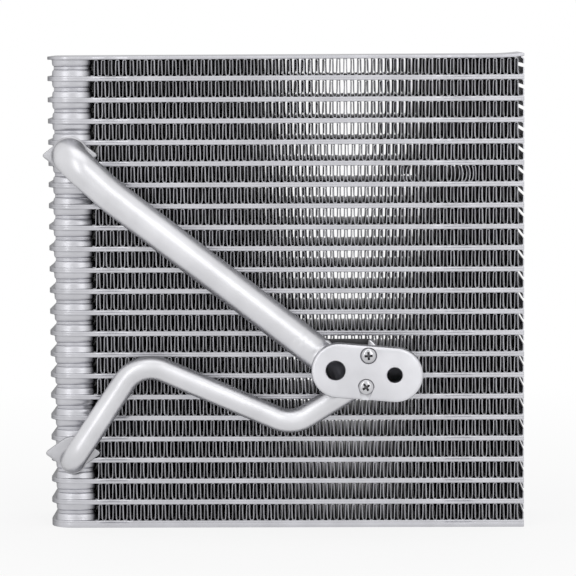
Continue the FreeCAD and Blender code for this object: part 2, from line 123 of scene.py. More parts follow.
def mapRange(tree, source, fromMin, fromMax, toMin, toMax):
    ends = {"From Min": fromMin, "From Max": fromMax, "To Min": toMin, "To Max": toMax}
    node = addNode(tree, "ShaderNodeMapRange", **ends)
    tree.links.new(source, node.inputs["Value"])
    return node.outputs["Result"]


def scaled(tree, colour, factor):
    node = addNode(tree, "ShaderNodeVectorMath", operation="SCALE")
    tree.links.new(colour, node.inputs["Vector"])
    tree.links.new(factor, node.inputs["Scale"])
    return node.outputs["Vector"]


def alloyMaterial(name, look):
    material, tree, shader = newMaterial(name)
    shader.inputs["Metallic"].default_value = 1.0
    tint = alloys["edgeTint"]
    shader.inputs["Specular Tint"].default_value = (tint, tint, tint, 1)
    place = addNode(tree, "ShaderNodeTexCoord")
    coarse = look["scale"] / alloys["broadShare"]
    fine = addNode(tree, "ShaderNodeTexNoise", Scale=look["scale"], Detail=4.0, Roughness=0.6)
    broad = addNode(tree, "ShaderNodeTexNoise", Scale=coarse, Detail=3.0, Roughness=0.5)
    for texture in (fine, broad):
        tree.links.new(place.outputs["Object"], texture.inputs["Vector"])
    factors = (1 - alloys["toneSpread"], 1 + alloys["toneSpread"])
    tone = addNode(tree, "ShaderNodeValToRGB")
    for element, position, factor in zip(tone.color_ramp.elements, alloys["tonePlaces"], factors):
        element.position = position
        element.color = (*[min(channel * factor, 1.0) for channel in look["colour"]], 1)
    tree.links.new(broad.outputs["Fac"], tone.inputs["Fac"])
    # the attribute paints shade into bores, recesses and shaded ends, and below 0 it paints light on
    # lit rims and walls
    paintedShading = addNode(tree, "ShaderNodeAttribute", attribute_name="paintedShading")
    shade = mapRange(tree, paintedShading.outputs["Fac"], 0, 1, 1, alloys["paintedShadingDarkest"])
    tree.links.new(scaled(tree, tone.outputs["Color"], shade), shader.inputs["Base Color"])
    smooth, dull = [look["rough"] + change for change in alloys["roughSpread"]]
    rough = mapRange(tree, fine.outputs["Fac"], 0, 1, smooth, dull)
    tree.links.new(rough, shader.inputs["Roughness"])
    wave = addNode(tree, "ShaderNodeBump", Strength=look["wave"], Distance=alloys["waveHeight"])
    tree.links.new(broad.outputs["Fac"], wave.inputs["Height"])
    grain = addNode(tree, "ShaderNodeBump", Strength=look["grain"], Distance=alloys["grainHeight"])
    tree.links.new(fine.outputs["Fac"], grain.inputs["Height"])
    tree.links.new(wave.outputs["Normal"], grain.inputs["Normal"])
    tree.links.new(grain.outputs["Normal"], shader.inputs["Normal"])
    return material


def finMaterial():
    material, tree, shader = newMaterial("finAlloy")
    shader.inputs["Metallic"].default_value = finSkin["metal"]
    shader.inputs["Roughness"].default_value = finSkin["rough"]
    place = addNode(tree, "ShaderNodeTexCoord")
    split = addNode(tree, "ShaderNodeSeparateXYZ")
    tree.links.new(place.outputs["Object"], split.inputs["Vector"])
    distance = addNode(tree, "ShaderNodeMath", operation="ABSOLUTE")
    tree.links.new(split.outputs["Y"], distance.inputs[0])
    # painted shade: both faces of the core are bright and the depth between them is painted dark, where
    # shade falls between the fins
    deep = mm(finSkin["deepFrom"])
    depth = mapRange(tree, distance.outputs["Value"], deep, mm(finSkin["frontFrom"]), 0, 1)
    tone = addNode(tree, "ShaderNodeValToRGB")
    for element, colour in zip(tone.color_ramp.elements, (finSkin["deep"], finSkin["front"])):
        element.color = (*colour, 1)
    # painted light on the deep fins beside the tank
    glowFrom = mm(finSkin["glowFrom"])
    glow = mapRange(tree, split.outputs["X"], glowFrom, mm(finSkin["glowTo"]), finSkin["tankPaintedLight"], 0)
    larger = addNode(tree, "ShaderNodeMath", operation="MAXIMUM")
    tree.links.new(depth, larger.inputs[0])
    tree.links.new(glow, larger.inputs[1])
    tree.links.new(larger.outputs["Value"], tone.inputs["Fac"])
    stretch = addNode(tree, "ShaderNodeMapping", Scale=finSkin["legGrain"])
    tree.links.new(place.outputs["Object"], stretch.inputs["Vector"])
    legs = addNode(tree, "ShaderNodeTexNoise", Scale=1.0, Detail=1.0)
    tree.links.new(stretch.outputs["Vector"], legs.inputs["Vector"])
    factor = mapRange(tree, legs.outputs["Fac"], *finSkin["legPlaces"], *finSkin["legTones"])
    tree.links.new(scaled(tree, tone.outputs["Color"], factor), shader.inputs["Base Color"])
    return material


materials = {"fin": finMaterial()}
for name in ("plate", "pipe", "fitting", "screw"):
    materials[name] = alloyMaterial(name + "Alloy", alloys[name])
print("stage: materials made")


# mesh helpers


def vertsIn(items):
    return [item for item in items if isinstance(item, bmesh.types.BMVert)]


def edgesIn(items):
    return [item for item in items if isinstance(item, bmesh.types.BMEdge)]


def facesIn(items):
    return [item for item in items if isinstance(item, bmesh.types.BMFace)]


def toMesh(part):
    mesh = bpy.data.meshes.new("part")
    part.to_mesh(mesh)
    part.free()
    return mesh


def joinMesh(bm, mesh, matrix=Matrix.Identity(4)):
    copy = mesh.copy()
    copy.transform(matrix)
    bm.from_mesh(copy, face_normals=False, vertex_normals=False)
    bpy.data.meshes.remove(copy)


def joinPart(bm, part, matrix=Matrix.Identity(4)):
    mesh = toMesh(part)
    joinMesh(bm, mesh, matrix)
    bpy.data.meshes.remove(mesh)


def roundCorners(part, verts, size, steps):
    bmesh.ops.bevel(
        part, geom=verts, offset=mm(size), segments=steps, profile=0.5, affect="VERTICES", material=-1)


def softenEdges(part, edges, size, steps):
    bmesh.ops.bevel(
        part, geom=edges, offset=mm(size), segments=steps, profile=0.5, affect="EDGES", material=-1,
        clamp_overlap=True)


def pullFaces(part, offset):
    pulled = bmesh.ops.extrude_face_region(part, geom=part.faces[:])["geom"]
    bmesh.ops.translate(part, verts=vertsIn(pulled), vec=offset)
    return facesIn(pulled)


def pullEdges(part, edges, offset):
    pulled = bmesh.ops.extrude_edge_only(part, edges=edges)["geom"]
    bmesh.ops.translate(part, verts=vertsIn(pulled), vec=offset)
    return edgesIn(pulled)


def rimEdges(part, axis):
    # edges between a flat end, square to the axis, and the wall round it
    part.normal_update()
    mostly = 0.9
    rims = []
    for edge in part.edges:
        flat = [abs(face.normal[axis]) > mostly for face in edge.link_faces]
        if sorted(flat) == [False, True]:
            rims.append(edge)
    return rims


def spinAbout(part, geometry, centre, axis, angle, steps, merge=False):
    return bmesh.ops.spin(
        part, geom=geometry, cent=centre, axis=axis, dvec=(0, 0, 0), angle=angle, steps=steps,
        use_merge=merge)["geom_last"]


def turnedPart(profile, steps, closed=False):
    # a profile of radius and place along Y, turned all the way round the Y axis
    part = bmesh.new()
    verts = [part.verts.new(toMetres(radius, along, 0)) for radius, along in profile]
    edges = [part.edges.new(pair) for pair in zip(verts, verts[1:])]
    if closed:
        edges.append(part.edges.new((verts[-1], verts[0])))
    spinAbout(part, verts + edges, (0, 0, 0), (0, 1, 0), 2 * math.pi, steps, merge=True)
    bmesh.ops.remove_doubles(part, verts=part.verts, dist=mm(0.0005))
    bmesh.ops.recalc_face_normals(part, faces=part.faces)
    return part


def barPart(low, high):
    part = bmesh.new()
    bmesh.ops.create_cube(part, size=1)
    bmesh.ops.scale(part, vec=[b - a for a, b in zip(low, high)], verts=part.verts)
    bmesh.ops.translate(part, vec=[(a + b) / 2 for a, b in zip(low, high)], verts=part.verts)
    bmesh.ops.scale(part, vec=(0.001, 0.001, 0.001), verts=part.verts)
    return part


def cutAway(part, cutters):
    # the part with each of the cutting parts taken out of it
    for item in [part] + cutters:
        bmesh.ops.recalc_face_normals(item, faces=item.faces)
    objects = [bpy.data.objects.new("cutting", toMesh(item)) for item in [part] + cutters]
    for item in objects:
        bpy.context.scene.collection.objects.link(item)
    body = objects[0]
    for cutter in objects[1:]:
        modifier = body.modifiers.new("cut", "BOOLEAN")
        modifier.operation = "DIFFERENCE"
        modifier.solver = "EXACT"
        modifier.object = cutter
    bpy.context.view_layer.update()
    result = bpy.data.meshes.new_from_object(body.evaluated_get(bpy.context.evaluated_depsgraph_get()))
    bm = bmesh.new()
    bm.from_mesh(result)
    bmesh.ops.remove_doubles(bm, verts=bm.verts, dist=mm(0.002))
    bpy.data.meshes.remove(result)
    for item in objects:
        bpy.data.meshes.remove(item.data)
    return bm


def clamped(value):
    return min(max(value, 0), 1)


def paintedShadingLayer(bm):
    # the attribute of painted shade and painted light that the alloys read for their tone
    return bm.verts.layers.float.get("paintedShading") or bm.verts.layers.float.new("paintedShading")


def darken(bm, inside, amount):
    # paints shade into the attribute where inside holds; an amount below 0 paints light
    layer = paintedShadingLayer(bm)
    for vert in bm.verts:
        if inside(vert.co):
            vert[layer] = amount


def addPiece(name, bm, slotName, node, smooth=35):
    bmesh.ops.recalc_face_normals(bm, faces=bm.faces)
    mesh = bpy.data.meshes.new(name)
    bm.to_mesh(mesh)
    bm.free()
    mesh.shade_smooth()
    mesh.set_sharp_from_angle(angle=math.radians(smooth))
    mesh.materials.append(materials[slotName])
    piece = bpy.data.objects.new(name, mesh)
    bpy.context.scene.collection.objects.link(piece)
    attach(piece, "root")
    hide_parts(node)


# tubes and side plates

plate = {
    "seam": 0.04,
    "seamDepth": 0.06,
    "edge": 0.22,
    "seamEdge": 0.04,
    "freeCorner": 0.2,
    # painted shade: how dark the rims get toward the tank's end, and how far in
    "endShade": 0.6,
    "endReach": 5.0,
    # how uneven the front rim is, how uneven the plates lie, and the scale of both per mm
    "waver": 0.07,
    "lift": 0.05,
    "waverScale": 0.11,
    "liftScale": 0.05,
    "strip": 5.0,
    "notchStarts": (24.3, 197.0),
    "notchLength": 15.5,
    "notchDepth": 1.0,
    "notchSlant": 2.0,
    "baseSplit": 2.4,
    "sink": 0.2,  # how far the base's filling lies below its sheets' top
    "rims": {"base": 0.4, "topLow": 0.3, "topHigh": 0.5},
    "hidden": 0.01,  # rounding of the filling between two sheets
    "seeds": {"base": 90, "top": 91, "baseUpper": 92, "upper": 40},
    "flareLength": 14.0,
    "flareRise": 0.85,
}

tab = {
    "sheet": 0.6,
    "rise": 3.5,
    "drop": 2.8,
    "bend": 1.0,
    "edge": 0.12,
}

cup = {
    "width": 19.7,
    "shift": 0.75,  # toward the fins
    "gap": 3.0,
    "noseRadius": 17.5,
    "noseSetBack": 1.0,
    "noseSteps": 12,
    "noseCorner": 1.6,
    "backCorner": 1.6,
    "foot": 0.35,
    "sink": 0.1,
    # height above the plate's face and how far in the wall is there, from foot to brazed seam
    "profile": (
        (0.02, -0.35), (0.10, -0.16), (0.30, -0.04), (0.65, 0.02), (1.80, 0.05), (2.60, 0.22),
        (3.15, 0.60), (3.27, 0.84), (3.36, 0.98), (3.52, 0.86), (4.00, 0.86), (4.10, 0.94),
    ),
    # painted shade: how far the darker painted shade reaches in from each side, and how dark it gets
    # there
    "rimPaintedShading": (2.8, 0.55),
    "finShade": (5.5, 0.80),
}


def notchStops():
    stops = []
    for start in plate["notchStarts"]:
        begin = start - core["length"] / 2
        end = begin + plate["notchLength"]
        stops += [begin, begin + plate["notchSlant"], end - plate["notchSlant"], end]
    return stops


def stripStops():
    stops = notchStops()
    first = core["corner"] - core["length"] / 2
    count = int((core["length"] - core["corner"]) / plate["strip"])
    even = [first + plate["strip"] * index for index in range(1, count + 1)]
    return stops + [x for x in even if all(abs(x - stop) > 1 for stop in stops)]


def rimSetBack(x, notched, seed):
    for start in plate["notchStarts"]:
        begin = start - core["length"] / 2
        into = min(x - begin, begin + plate["notchLength"] - x)
        if notched and into > 0:
            return plate["notchDepth"] * min(into / plate["notchSlant"], 1)
    return plate["waver"] * noise.noise(Vector((x * plate["waverScale"], seed * 7.3, 0)))


def addSlab(bm, low, high, rounding, seed, lift, notched=True, inset=0):
    # rounding is that of the lower and of the upper rim
    part = bmesh.new()
    bmesh.ops.create_grid(part, x_segments=1, y_segments=1, size=1)
    front = inset - core["depth"] / 2
    bmesh.ops.scale(part, vec=toMetres(core["length"] / 2 - inset, -front, 1), verts=part.verts)
    roundCorners(part, [vert for vert in part.verts if vert.co.x < 0], core["corner"] - inset, 12)
    roundCorners(part, [vert for vert in part.verts if vert.co.x > 0], plate["freeCorner"], 1)
    for x in stripStops():
        everything = part.verts[:] + part.edges[:] + part.faces[:]
        bmesh.ops.bisect_plane(
            part, geom=everything, dist=mm(0.001), plane_co=toMetres(x, 0, 0), plane_no=(1, 0, 0))
    for vert in part.verts:
        if vert.co.y < mm(front + near):
            vert.co.y += mm(rimSetBack(vert.co.x * 1000, notched, seed))
    pullFaces(part, toMetres(0, 0, high - low))
    for level, size in zip((0, high - low), rounding):
        rims = [edge for edge in rimEdges(part, 2) if abs(edge.verts[0].co.z - mm(level)) < mm(near)]
        softenEdges(part, rims, size, 3)
    # painted shade on the rims toward the tank's end
    layer = paintedShadingLayer(part)
    for vert in part.verts:
        x = vert.co.x * 1000
        vert.co.z += mm(low + lift(x))
        vert[layer] = plate["endShade"] * clamped(1 - (x + core["length"] / 2) / plate["endReach"])
    joinPart(bm, part)


def makeCupShape():
    part = bmesh.new()
    grow = cup["foot"]
    middle = core["corner"] + cup["shift"] - core["length"] / 2
    centre = cup["noseSetBack"] + cup["noseRadius"] - core["depth"] / 2
    radius = cup["noseRadius"] + grow
    half = cup["width"] / 2 + grow
    turn = math.asin(half / radius)
    back = grow - cup["gap"] / 2
    start = part.verts.new(toMetres(middle - half, centre - radius * math.cos(turn), 0))
    nose = spinAbout(part, [start], toMetres(middle, centre, 0), (0, 0, 1), 2 * turn, cup["noseSteps"])
    stops = [vertsIn(nose)[0]]
    stops += [part.verts.new(toMetres(middle + side * half, back, 0)) for side in (1, -1)]
    for pair in zip(stops, stops[1:] + [start]):
        part.edges.new(pair)
    bmesh.ops.contextual_create(part, geom=part.edges[:])
    reach = (cup["noseCorner"] + grow) * math.tan((math.pi / 2 - turn) / 2)
    roundCorners(part, [start, stops[0]], reach, 4)
    rear = [vert for vert in part.verts if vert.co.y > mm(back - near)]
    roundCorners(part, rear, cup["backCorner"] + grow, 4)
    cap = pullFaces(part, toMetres(0, 0, cup["sink"] + cup["profile"][0][0]))[0]
    bmesh.ops.recalc_face_normals(part, faces=part.faces)
    for (low, before), (high, after) in zip(cup["profile"], cup["profile"][1:]):
        bmesh.ops.inset_individual(
            part, faces=[cap], thickness=mm(after - before), depth=mm(high - low), use_even_offset=True)
    bmesh.ops.translate(part, verts=part.verts, vec=toMetres(0, 0, -cup["sink"]))
    # painted shade on the cup's side by the rims and on its side by the fins
    layer = paintedShadingLayer(part)
    for side, (reach, amount) in ((-1, cup["rimPaintedShading"]), (1, cup["finShade"])):
        for vert in part.verts:
            into = side * (vert.co.x * 1000 - middle) - (cup["width"] / 2 - reach)
            vert[layer] = max(vert[layer], amount * clamped(into / reach) ** 2)
    return toMesh(part)


def addCups(bm, face, direction):
    for side in (1, -1):
        place = Matrix.Translation(toMetres(0, 0, face)) @ Matrix.Diagonal((1, side, direction, 1))
        joinMesh(bm, cupShape, place)


def addTab(bm, face, direction, length):
    # leaves the plate's face on a small bend and stands up to its free edge
    part = bmesh.new()
    x = core["length"] / 2 - tab["sheet"] - tab["bend"]
    front = tab["edge"] - core["depth"] / 2
    pair = [part.verts.new(toMetres(x, front, level)) for level in (0, -tab["sheet"])]
    edge = part.edges.new(pair)
    centre = toMetres(x, front, tab["bend"])
    bent = spinAbout(part, pair + [edge], centre, (0, -1, 0), math.pi / 2, 5)
    pullEdges(part, edgesIn(bent), toMetres(0, 0, length - tab["bend"]))
    pullFaces(part, toMetres(0, -2 * front, 0))
    tips = [edge for edge in part.edges if all(vert.co.z > mm(length - near) for vert in edge.verts)]
    softenEdges(part, tips, tab["edge"], 1)
    joinPart(bm, part, Matrix.Translation(toMetres(0, 0, face)) @ Matrix.Diagonal((1, 1, direction, 1)))


def tubeLevel(number):
    return core["base"] + core["pitch"] * number - core["tube"] / 2


def makeTube(number):
    bm = bmesh.new()
    paintedShadingLayer(bm)
    level = tubeLevel(number)
    half = core["tube"] / 2
    seam = plate["seam"] / 2

    def lift(x):
        return plate["lift"] * noise.noise(Vector((x * plate["liftScale"], number * 3.1, 0.5)))

    lower = (plate["edge"], plate["seamEdge"])
    filling = (plate["hidden"], plate["hidden"])
    addSlab(bm, level - half, level - seam, lower, number, lift, notched=False)
    addSlab(bm, level + seam, level + half, lower[::-1], number + plate["seeds"]["upper"], lift)
    # set back behind the seam, a filling closes the gap between the two sheets
    depth = plate["seamDepth"]
    addSlab(bm, level - 2 * seam, level + 2 * seam, filling, number, lift, inset=depth)
    addCups(bm, level + half, 1)
    addCups(bm, level - half, -1)
    addTab(bm, level + half, 1, tab["rise"])
    addTab(bm, level - half, -1, tab["drop"])
    name = "tube_{:02d}".format(number)
    addPiece(name + "_plates", bm, "plate", name)


def makeBase():
    bm = bmesh.new()
    paintedShadingLayer(bm)
    split = plate["baseSplit"]
    sink = plate["sink"]
    seeds = plate["seeds"]
    lower = (plate["rims"]["base"], plate["seamEdge"])
    upper = (plate["seamEdge"], plate["edge"])
    filling = (plate["hidden"], plate["hidden"])

    def lift(x):
        return 0

    addSlab(bm, 0, split, lower, seeds["base"], lift, notched=False)
    addSlab(bm, split + plate["seam"], core["base"], upper, seeds["baseUpper"], lift)
    depth = plate["seamDepth"]
    addSlab(bm, split - sink, core["base"] - sink, filling, seeds["baseUpper"], lift, inset=depth)
    addCups(bm, core["base"], 1)
    addTab(bm, core["base"], 1, tab["rise"])
    addPiece("base_plate_pressing", bm, "plate", "base_plate")


def makeTop():
    bm = bmesh.new()
    paintedShadingLayer(bm)
    low = tubeLevel(core["tubes"] + 1) - core["tube"] / 2

    def lift(x):
        share = max(0, 1 + (x - core["length"] / 2) / plate["flareLength"])
        return plate["flareRise"] * share * share

    rounding = (plate["rims"]["topLow"], plate["rims"]["topHigh"])
    addSlab(bm, low, low + core["top"], rounding, plate["seeds"]["top"], lift)
    addCups(bm, low, -1)
    addTab(bm, low, -1, tab["drop"])
    addPiece("top_plate_pressing", bm, "plate", "top_plate")


cupShape = makeCupShape()
makeBase()
for number in range(1, core["tubes"] + 1):
    makeTube(number)
makeTop()
print("stage: tubes and side plates made")


# corrugated fins

fins = {
    "sheet": 0.32,
    "legs": 120,
    "crest": 0.80,  # half the width of a crest, between its two folds
    "fold": 0.62,
    "setBack": 0.5,
    "tankGap": 0.85,
    "portGap": 1.4,
    "tabGap": 0.7,
    "portRows": (4, 18),
    "seed": 11,
    "stray": 0.14,
    "bow": 0.05,
    "bowStops": (0.25, 0.5, 0.75),
    "louvreFollow": 0.8,  # share of a leg's bow that its louvres follow
    "dents": ((17, 88.5, 8.0, 1.1), (17, 61.5, 3.5, -0.9)),  # row, place along X, half width, push
}

louvre = {
    "count": 3,  # at each face of the core
    "first": 1.0,
    "pitch": 1.2,
    "chord": 1.3,
    "height": 6.2,
    "sheet": 0.12,
    "tilt": 22,
}


def makeLouvreComb():
    part = bmesh.new()
    shape = Matrix.Diagonal(toMetres(louvre["sheet"], louvre["chord"], louvre["height"])).to_4x4()
    for side in (-1, 1):
        turn = Matrix.Rotation(math.radians(side * louvre["tilt"]), 4, "Z")
        for index in range(louvre["count"]):
            y = side * (core["depth"] / 2 - fins["setBack"] - louvre["first"] - index * louvre["pitch"])
            place = Matrix.Translation(toMetres(0, y, 0))
            bmesh.ops.create_cube(part, size=1, matrix=place @ turn @ shape)
    return toMesh(part)


def legPush(row, x, leg):
    # how far the middle of a leg strays from the straight line
    push = random.uniform(-1, 1) * fins["stray"] + fins["bow"] * (1 if leg % 2 else -1)
    for dentRow, place, reach, amount in fins["dents"]:
        if row == dentRow and abs(x - place) < reach:
            push += amount * math.cos((x - place) / reach * math.pi / 2)
    return push


def makeFin(row):
    bm = bmesh.new()
    low = core["base"] + (row - 1) * core["pitch"]
    high = low + core["pitch"] - core["tube"] - fins["sheet"]
    left = core["corner"] + cup["width"] / 2 + fins["tankGap"] - core["length"] / 2
    if row in fins["portRows"]:
        left += fins["portGap"]
    right = core["length"] / 2 - tab["sheet"] - fins["tabGap"]
    half = fins["crest"]
    step = (right - left - 2 * half) / fins["legs"]
    stops = []
    legs = []
    for crest in range(fins["legs"] + 1):
        x = left + half + crest * step
        level = high if crest % 2 else low
        # the sheet thickens upwards, so a lower crest is drawn wider than an upper one
        wide = half + fins["sheet"] / 2 * (-1 if crest % 2 else 1)
        if crest:
            start = stops[-1]
            push = legPush(row, x - step / 2, crest)
            for share in fins["bowStops"]:
                along = start[0] + (x - wide - start[0]) * share + push * math.sin(share * math.pi)
                stops.append((along, start[1] + (level - start[1]) * share))
            legs.append((start, (x - wide, level), push))
        stops += [(x - wide, level), (x + wide, level)]
    front = fins["setBack"] - core["depth"] / 2
    verts = [bm.verts.new(toMetres(x, front, level)) for x, level in stops]
    edges = [bm.edges.new(pair) for pair in zip(verts, verts[1:])]
    pullEdges(bm, edges, toMetres(0, -2 * front, 0))
    bm.normal_update()
    # the faces come in no set order, so a crest is looked for to see which way the sheet faces
    flattest = max(bm.faces, key=lambda face: abs(face.normal.z))
    if flattest.normal.z < 0:
        bmesh.ops.reverse_faces(bm, faces=bm.faces[:])
    crests = (mm(low), mm(high))
    folds = []
    for edge in bm.edges:
        level = edge.verts[0].co.z
        if len(edge.link_faces) == 2 and min(abs(level - crest) for crest in crests) < mm(0.001):
            folds.append(edge)
    softenEdges(bm, folds, fins["fold"], 3)
    bmesh.ops.solidify(bm, geom=bm.faces[:], thickness=-mm(fins["sheet"]))
    for start, stop, push in legs:
        lean = math.atan2(stop[0] - start[0], abs(stop[1] - start[1]))
        if stop[1] < start[1]:
            lean = -lean
        x = (start[0] + stop[0]) / 2 + push * fins["louvreFollow"]
        middle = toMetres(x, 0, (low + high + fins["sheet"]) / 2)
        joinMesh(bm, louvreComb, Matrix.Translation(middle) @ Matrix.Rotation(lean, 4, "Y"))
    name = "fin_{:02d}".format(row)
    addPiece(name + "_sheet", bm, "fin", name, smooth=50)


louvreComb = makeLouvreComb()
random.seed(fins["seed"])
for row in range(1, core["tubes"] + 2):
    makeFin(row)
print("stage: fins made")


# pipes

suction = {
    "outer": 16.6,
    "wall": 1.5,
    "points": (
        (-106.75, -34.5, 187.1), (-106.75, -46, 187.1), (-85.85, -46, 167.9),
        (24.85, -46, 82.593), (24.85, -61.5, 82.593),
    ),
    "bends": (11.5, 70, 13.5),
    "around": 72,
    "stepAngle": 3,
    "collar": 1.1,
    "boreRun": 6.0,
    # painted light: the bore's right side is brightened, where light falls into it
    "litSide": 0.25,  # how much the bore brightens toward its right side
    # shallow wrinkles before the valve end's elbow: where they start and stop back from its corner,
    # their depth, radians per mm, distance between cuts, even share and the uneven rest's scale
    "wrinkles": {
        "from": 17, "to": 27, "depth": 0.16, "waves": 1.7, "step": 0.5, "even": 0.5, "patches": 160,
    },
}

liquid = {
    "outer": 11.8,
    "wall": 1.2,
    "points": (
        (-106.75, -34.5, 34.7), (-106.75, -44, 34.7), (-72.65, -44, 86.0), (3.356, -44, 53.567),
        (32.856, -44, 71.767), (53.756, -44, 80.267), (53.756, -61.5, 80.267),
    ),
    "bends": (9.5, 16, 16, 40, 12),
    "around": 64,
    "stepAngle": 4,
    "collar": 0.9,
    "boreRun": 6.0,
    "litSide": 0,
}


def followRoute(bm, ring, points, bends, stepAngle):
    # a ring of edges pulled along straight runs and turned through the arcs between them
    at = points[0]
    for before, corner, after, radius in zip(points, points[1:], points[2:], bends):
        back = (before - corner).normalized()
        ahead = (after - corner).normalized()
        half = back.angle(ahead) / 2
        centre = corner + (back + ahead).normalized() * (radius / math.sin(half))
        entry = corner + back * (radius / math.tan(half))
        leave = corner + ahead * (radius / math.tan(half))
        if (entry - at).length > near:
            ring = pullEdges(bm, ring, (entry - at) / 1000)
        turn = math.pi - 2 * half
        axis = (entry - centre).cross(leave - centre).normalized()
        verts = list(dict.fromkeys(vert for edge in ring for vert in edge.verts))
        steps = max(2, round(math.degrees(turn) / stepAngle))
        ring = edgesIn(spinAbout(bm, verts + ring, centre / 1000, axis, turn, steps))
        at = leave
    return pullEdges(bm, ring, (points[-1] - at) / 1000)


def wrinkle(bm, points, look):
    corner = points[-2]
    back = (points[-3] - corner).normalized()
    reach = look["to"] - look["from"]
    for cut in range(int(reach / look["step"]) + 1):
        place = corner + back * (look["from"] + cut * look["step"])
        everything = bm.verts[:] + bm.edges[:] + bm.faces[:]
        bmesh.ops.bisect_plane(
            bm, geom=everything, dist=mm(0.001), plane_co=place / 1000, plane_no=back)
    bmesh.ops.recalc_face_normals(bm, faces=bm.faces)
    bm.normal_update()
    for vert in bm.verts:
        along = (vert.co * 1000 - corner).dot(back) - look["from"]
        if 0 < along < reach and vert.normal.y < 0:
            fade = math.sin(along / reach * math.pi) * vert.normal.y ** 2
            uneven = look["even"] + noise.noise(vert.co * look["patches"])
            push = look["depth"] * fade * uneven * math.sin(along * look["waves"])
            vert.co -= vert.normal * mm(push)


def makePipe(name, look, node):
    bm = bmesh.new()
    layer = paintedShadingLayer(bm)
    points = [Vector(point) for point in look["points"]]
    radius = look["outer"] / 2
    heading = (points[1] - points[0]).to_track_quat("Z", "Y").to_matrix().to_4x4()
    bmesh.ops.create_circle(
        bm, cap_ends=False, segments=look["around"], radius=mm(radius),
        matrix=Matrix.Translation(points[0] / 1000) @ heading)
    ring = followRoute(bm, bm.edges[:], points, look["bends"], look["stepAngle"])
    if "wrinkles" in look:
        wrinkle(bm, points, look["wrinkles"])
    # the end's lip, and the bore back round the last bend
    outside = set(bm.verts)
    lip = bmesh.ops.extrude_edge_only(bm, edges=ring)["geom"]
    end = Matrix.Translation(-points[-1] / 1000)
    shrink = 1 - look["wall"] / radius
    bmesh.ops.scale(bm, vec=(shrink, shrink, shrink), space=end, verts=vertsIn(lip))
    reach = look["bends"][-1] + look["boreRun"]
    bore = [points[-1], points[-2], points[-2] + (points[-3] - points[-2]).normalized() * reach]
    followRoute(bm, edgesIn(lip), bore, look["bends"][-1:], look["stepAngle"])
    # painted light on the bore's right side, as the attribute below 0
    for vert in bm.verts:
        if vert not in outside:
            vert[layer] = -look["litSide"] * clamped((vert.co.x * 1000 - points[-1].x) / radius)
    bmesh.ops.holes_fill(bm, edges=[edge for edge in bm.edges if edge.is_boundary], sides=0)
    addPiece(name, bm, "pipe", node, smooth=40)


makePipe("suction_pipe_tube", suction, "suction_pipe")
makePipe("liquid_pipe_tube", liquid, "liquid_pipe")
print("stage: pipes made")


# port fittings

fitting = {
    "sheet": 3.5,
    "reach": 12.0,  # from the middle to the centre of a tip's rounding
    "tip": 1.4,
    "waists": {"suction": 8.8, "liquid": 8.4},
    "edge": 0.6,
    "levels": {"suction": 187.1, "liquid": 38.3},
    "shade": 0.35,
    # braze fillet round the pipe, in shares of its size: out from the pipe and forward
    "fillet": (
        (1, -0.05), (0.85, 0.12), (0.42, 0.35), (0.14, 0.75), (0.03, 1.3), (-0.3, 1.3), (-0.3, -0.05),
    ),
}


def makeFitting(name, pipe, node):
    part = bmesh.new()
    waist = fitting["waists"][name]
    lean = math.asin((waist - fitting["tip"]) / fitting["reach"])
    tipX = fitting["reach"] + fitting["tip"] / math.sin(lean)
    topZ = waist / math.cos(lean)
    corners = [(tipX, 0), (0, topZ), (-tipX, 0), (0, -topZ)]
    part.faces.new([part.verts.new(toMetres(x, 0, z)) for x, z in corners])
    tips = [vert for vert in part.verts if abs(vert.co.x) > mm(1)]
    roundCorners(part, tips, fitting["tip"] / math.tan(lean), 8)
    peaks = [vert for vert in part.verts if abs(vert.co.z) > mm(topZ - near)]
    roundCorners(part, peaks, waist * math.tan(lean), 12)
    pullFaces(part, toMetres(0, -fitting["sheet"], 0))
    front = [edge for edge in rimEdges(part, 1) if edge.verts[0].co.y < -mm(1)]
    softenEdges(part, front, fitting["edge"], 3)
    bm = bmesh.new()
    start = pipe["points"][0]
    place = toMetres(start[0], -core["depth"] / 2, fitting["levels"][name])
    joinPart(bm, part, Matrix.Translation(place))
    size = pipe["collar"]
    profile = [(pipe["outer"] / 2 + out * size, -forward * size) for out, forward in fitting["fillet"]]
    joinPart(bm, turnedPart(profile, 56, closed=True), Matrix.Translation(toMetres(*start)))
    darken(bm, lambda place: True, fitting["shade"])
    addPiece(node + "_flange", bm, "fitting", node, smooth=50)


makeFitting("suction", suction, "suction_fitting")
makeFitting("liquid", liquid, "liquid_fitting")
print("stage: fittings made")


# valve plate, screws and clamp block

valve = {
    "middle": (40.3, 81.55),
    "tilt": 4.6,
    "front": -66.5,
    "back": -59.5,
    "length": 54.7,
    "width": 26.7,
    "rim": 1.5,
    # below 0: a painted highlight along the rim's bevel
    "rimPaintedShading": -0.22,
    "ports": ((-15.5, 4.8, 8.3), (13.5, 3.8, 5.9)),  # place, bore and socket radius
    "socket": 2.0,
    "portEdge": 0.35,
    "lead": 0.2,  # how far a port's cutter opens in front of the plate
    "seatEdge": 0.2,
    "seat": 4.0,
    "recess": 1.2,
    "mouth": 1.0,
    "holePlay": 0.2,  # room round each screw
    # painted shade in the ports' bores
    "shade": 0.1,
    # painted shade on the floors of the screws' seats
    "seatShade": 0.9,
}

